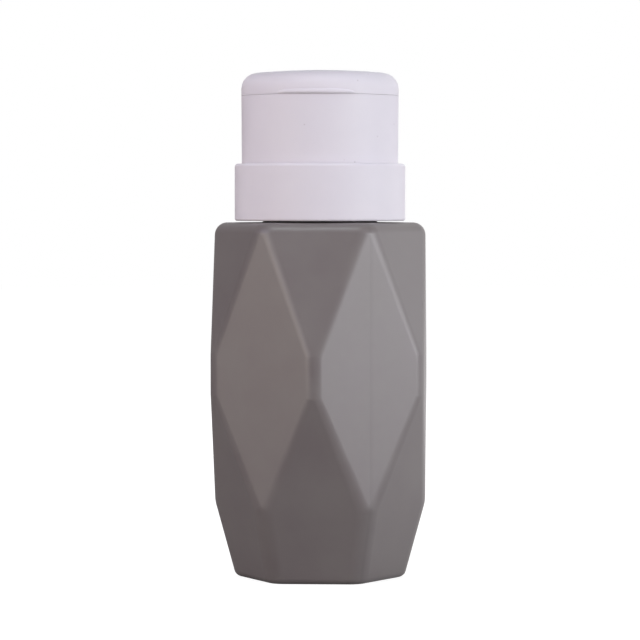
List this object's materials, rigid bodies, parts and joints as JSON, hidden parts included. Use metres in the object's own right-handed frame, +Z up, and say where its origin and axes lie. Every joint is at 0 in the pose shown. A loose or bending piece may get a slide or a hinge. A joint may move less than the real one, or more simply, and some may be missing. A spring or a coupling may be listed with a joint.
{
  "type": "push-down pump bottle",
  "caption": "Faceted hexagonal bottle with a push-down pump, a dish for a cotton pad and a flip lid, for nail polish remover.",
  "frame": {"origin": "centre of the bottle's standing face, on its axis", "axes": "+Z up along the bottle's axis; -Y is the front, where the lid's thumb lip is; +Y is the back, where the lid's hinge is"},
  "size_m": [0.0582, 0.0662, 0.14],
  "materials": {
    "bottle_grey": "satin moulded, warm grey",
    "pump_white": "smooth moulded, white",
    "pump_natural": "natural, slightly milky",
    "tube_clear": "natural, translucent",
    "soft_seal": "soft, matt, off-white",
    "spring_steel": "drawn stainless wire",
    "ball_glass": "polished"
  },
  "bodies": {
    "bottle": {"bottle": "bottle_grey"},
    "pump": {"pump_cylinder": "pump_natural", "cylinder_cap": "pump_natural", "neck_gasket": "soft_seal", "dip_tube": "tube_clear", "return_spring": "spring_steel"},
    "collar": {"closure_collar": "pump_white"},
    "plunger": {"stem_tube": "pump_white", "piston_rod": "pump_natural"},
    "head": {"press_head": "pump_white", "press_dish": "pump_white", "outlet_cap": "pump_white"},
    "lid": {"flip_lid": "pump_white", "lid_stopper": "soft_seal"},
    "piston": {"piston_seal": "tube_clear"},
    "inlet_valve": {"inlet_ball": "ball_glass"},
    "outlet_valve": {"outlet_ball": "ball_glass"}
  },
  "joints": [
    {"name": "pump_lift", "type": "slide", "parent": "bottle", "child": "pump", "axis": [0, 0, 1], "range_m": [0, 0.1084]},
    {"name": "collar_turn", "type": "hinge", "parent": "pump", "child": "collar", "pos_m": [0, 0, 0.1106], "axis": [0, 0, 1], "range_deg": [0, 540]},
    {"name": "press", "type": "slide", "parent": "pump", "child": "plunger", "axis": [0, 0, -1], "range_m": [0, 0.008], "stiffness_N_per_m": 1250, "springref_m": -0.004, "deforming": ["return_spring"]},
    {"name": "head_swivel", "type": "hinge", "parent": "plunger", "child": "head", "pos_m": [0, 0, 0.1286], "axis": [0, 0, 1], "continuous": true},
    {"name": "lid_hinge", "type": "hinge", "parent": "head", "child": "lid", "pos_m": [0, 0.0212, 0.13295], "axis": [-1, 0, 0], "range_deg": [0, 115]},
    {"name": "piston_slip", "type": "slide", "parent": "plunger", "child": "piston", "axis": [0, 0, 1], "range_m": [0, 0.001]},
    {"name": "inlet_lift", "type": "slide", "parent": "pump", "child": "inlet_valve", "axis": [0, 0, 1], "range_m": [0, 0.0015]},
    {"name": "outlet_lift", "type": "slide", "parent": "plunger", "child": "outlet_valve", "axis": [0, 0, 1], "range_m": [0, 0.0008]}
  ]
}
